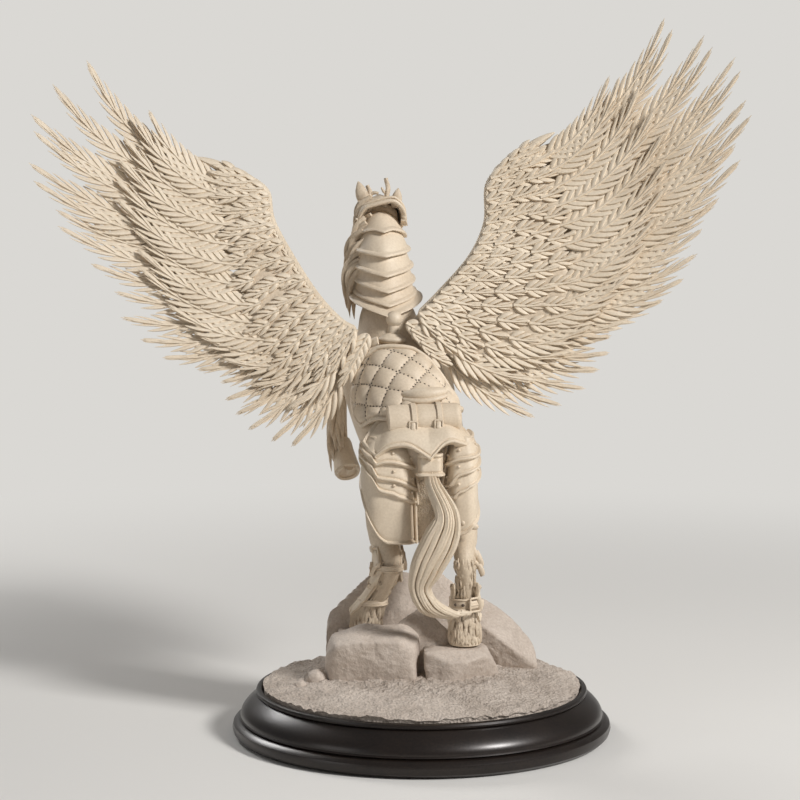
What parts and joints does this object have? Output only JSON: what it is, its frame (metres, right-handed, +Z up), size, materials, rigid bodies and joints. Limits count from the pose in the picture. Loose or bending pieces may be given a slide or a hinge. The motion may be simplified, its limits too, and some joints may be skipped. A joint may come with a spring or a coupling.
{
  "type": "pegasus figurine",
  "caption": "Armoured pegasus figurine: a saddled, winged horse in plate armour rears on rocky ground set in a round turned plinth",
  "frame": {"origin": "centre of the plinth's flat underside", "axes": "+Z up, +Y the way the horse faces, +X the horse's right"},
  "size_m": [0.2318, 0.1377, 0.2269],
  "materials": {
    "lacquer": "satin black-bronze lacquer over a turned form",
    "stone_resin": "matte cast resin textured as rock and rough earth",
    "resin": "matte warm grey cast resin"
  },
  "bodies": {
    "root": {"plinth": "lacquer", "ground": "stone_resin", "pegasus_body": "resin", "wing_left": "resin", "wing_right": "resin"}
  },
  "joints": []
}
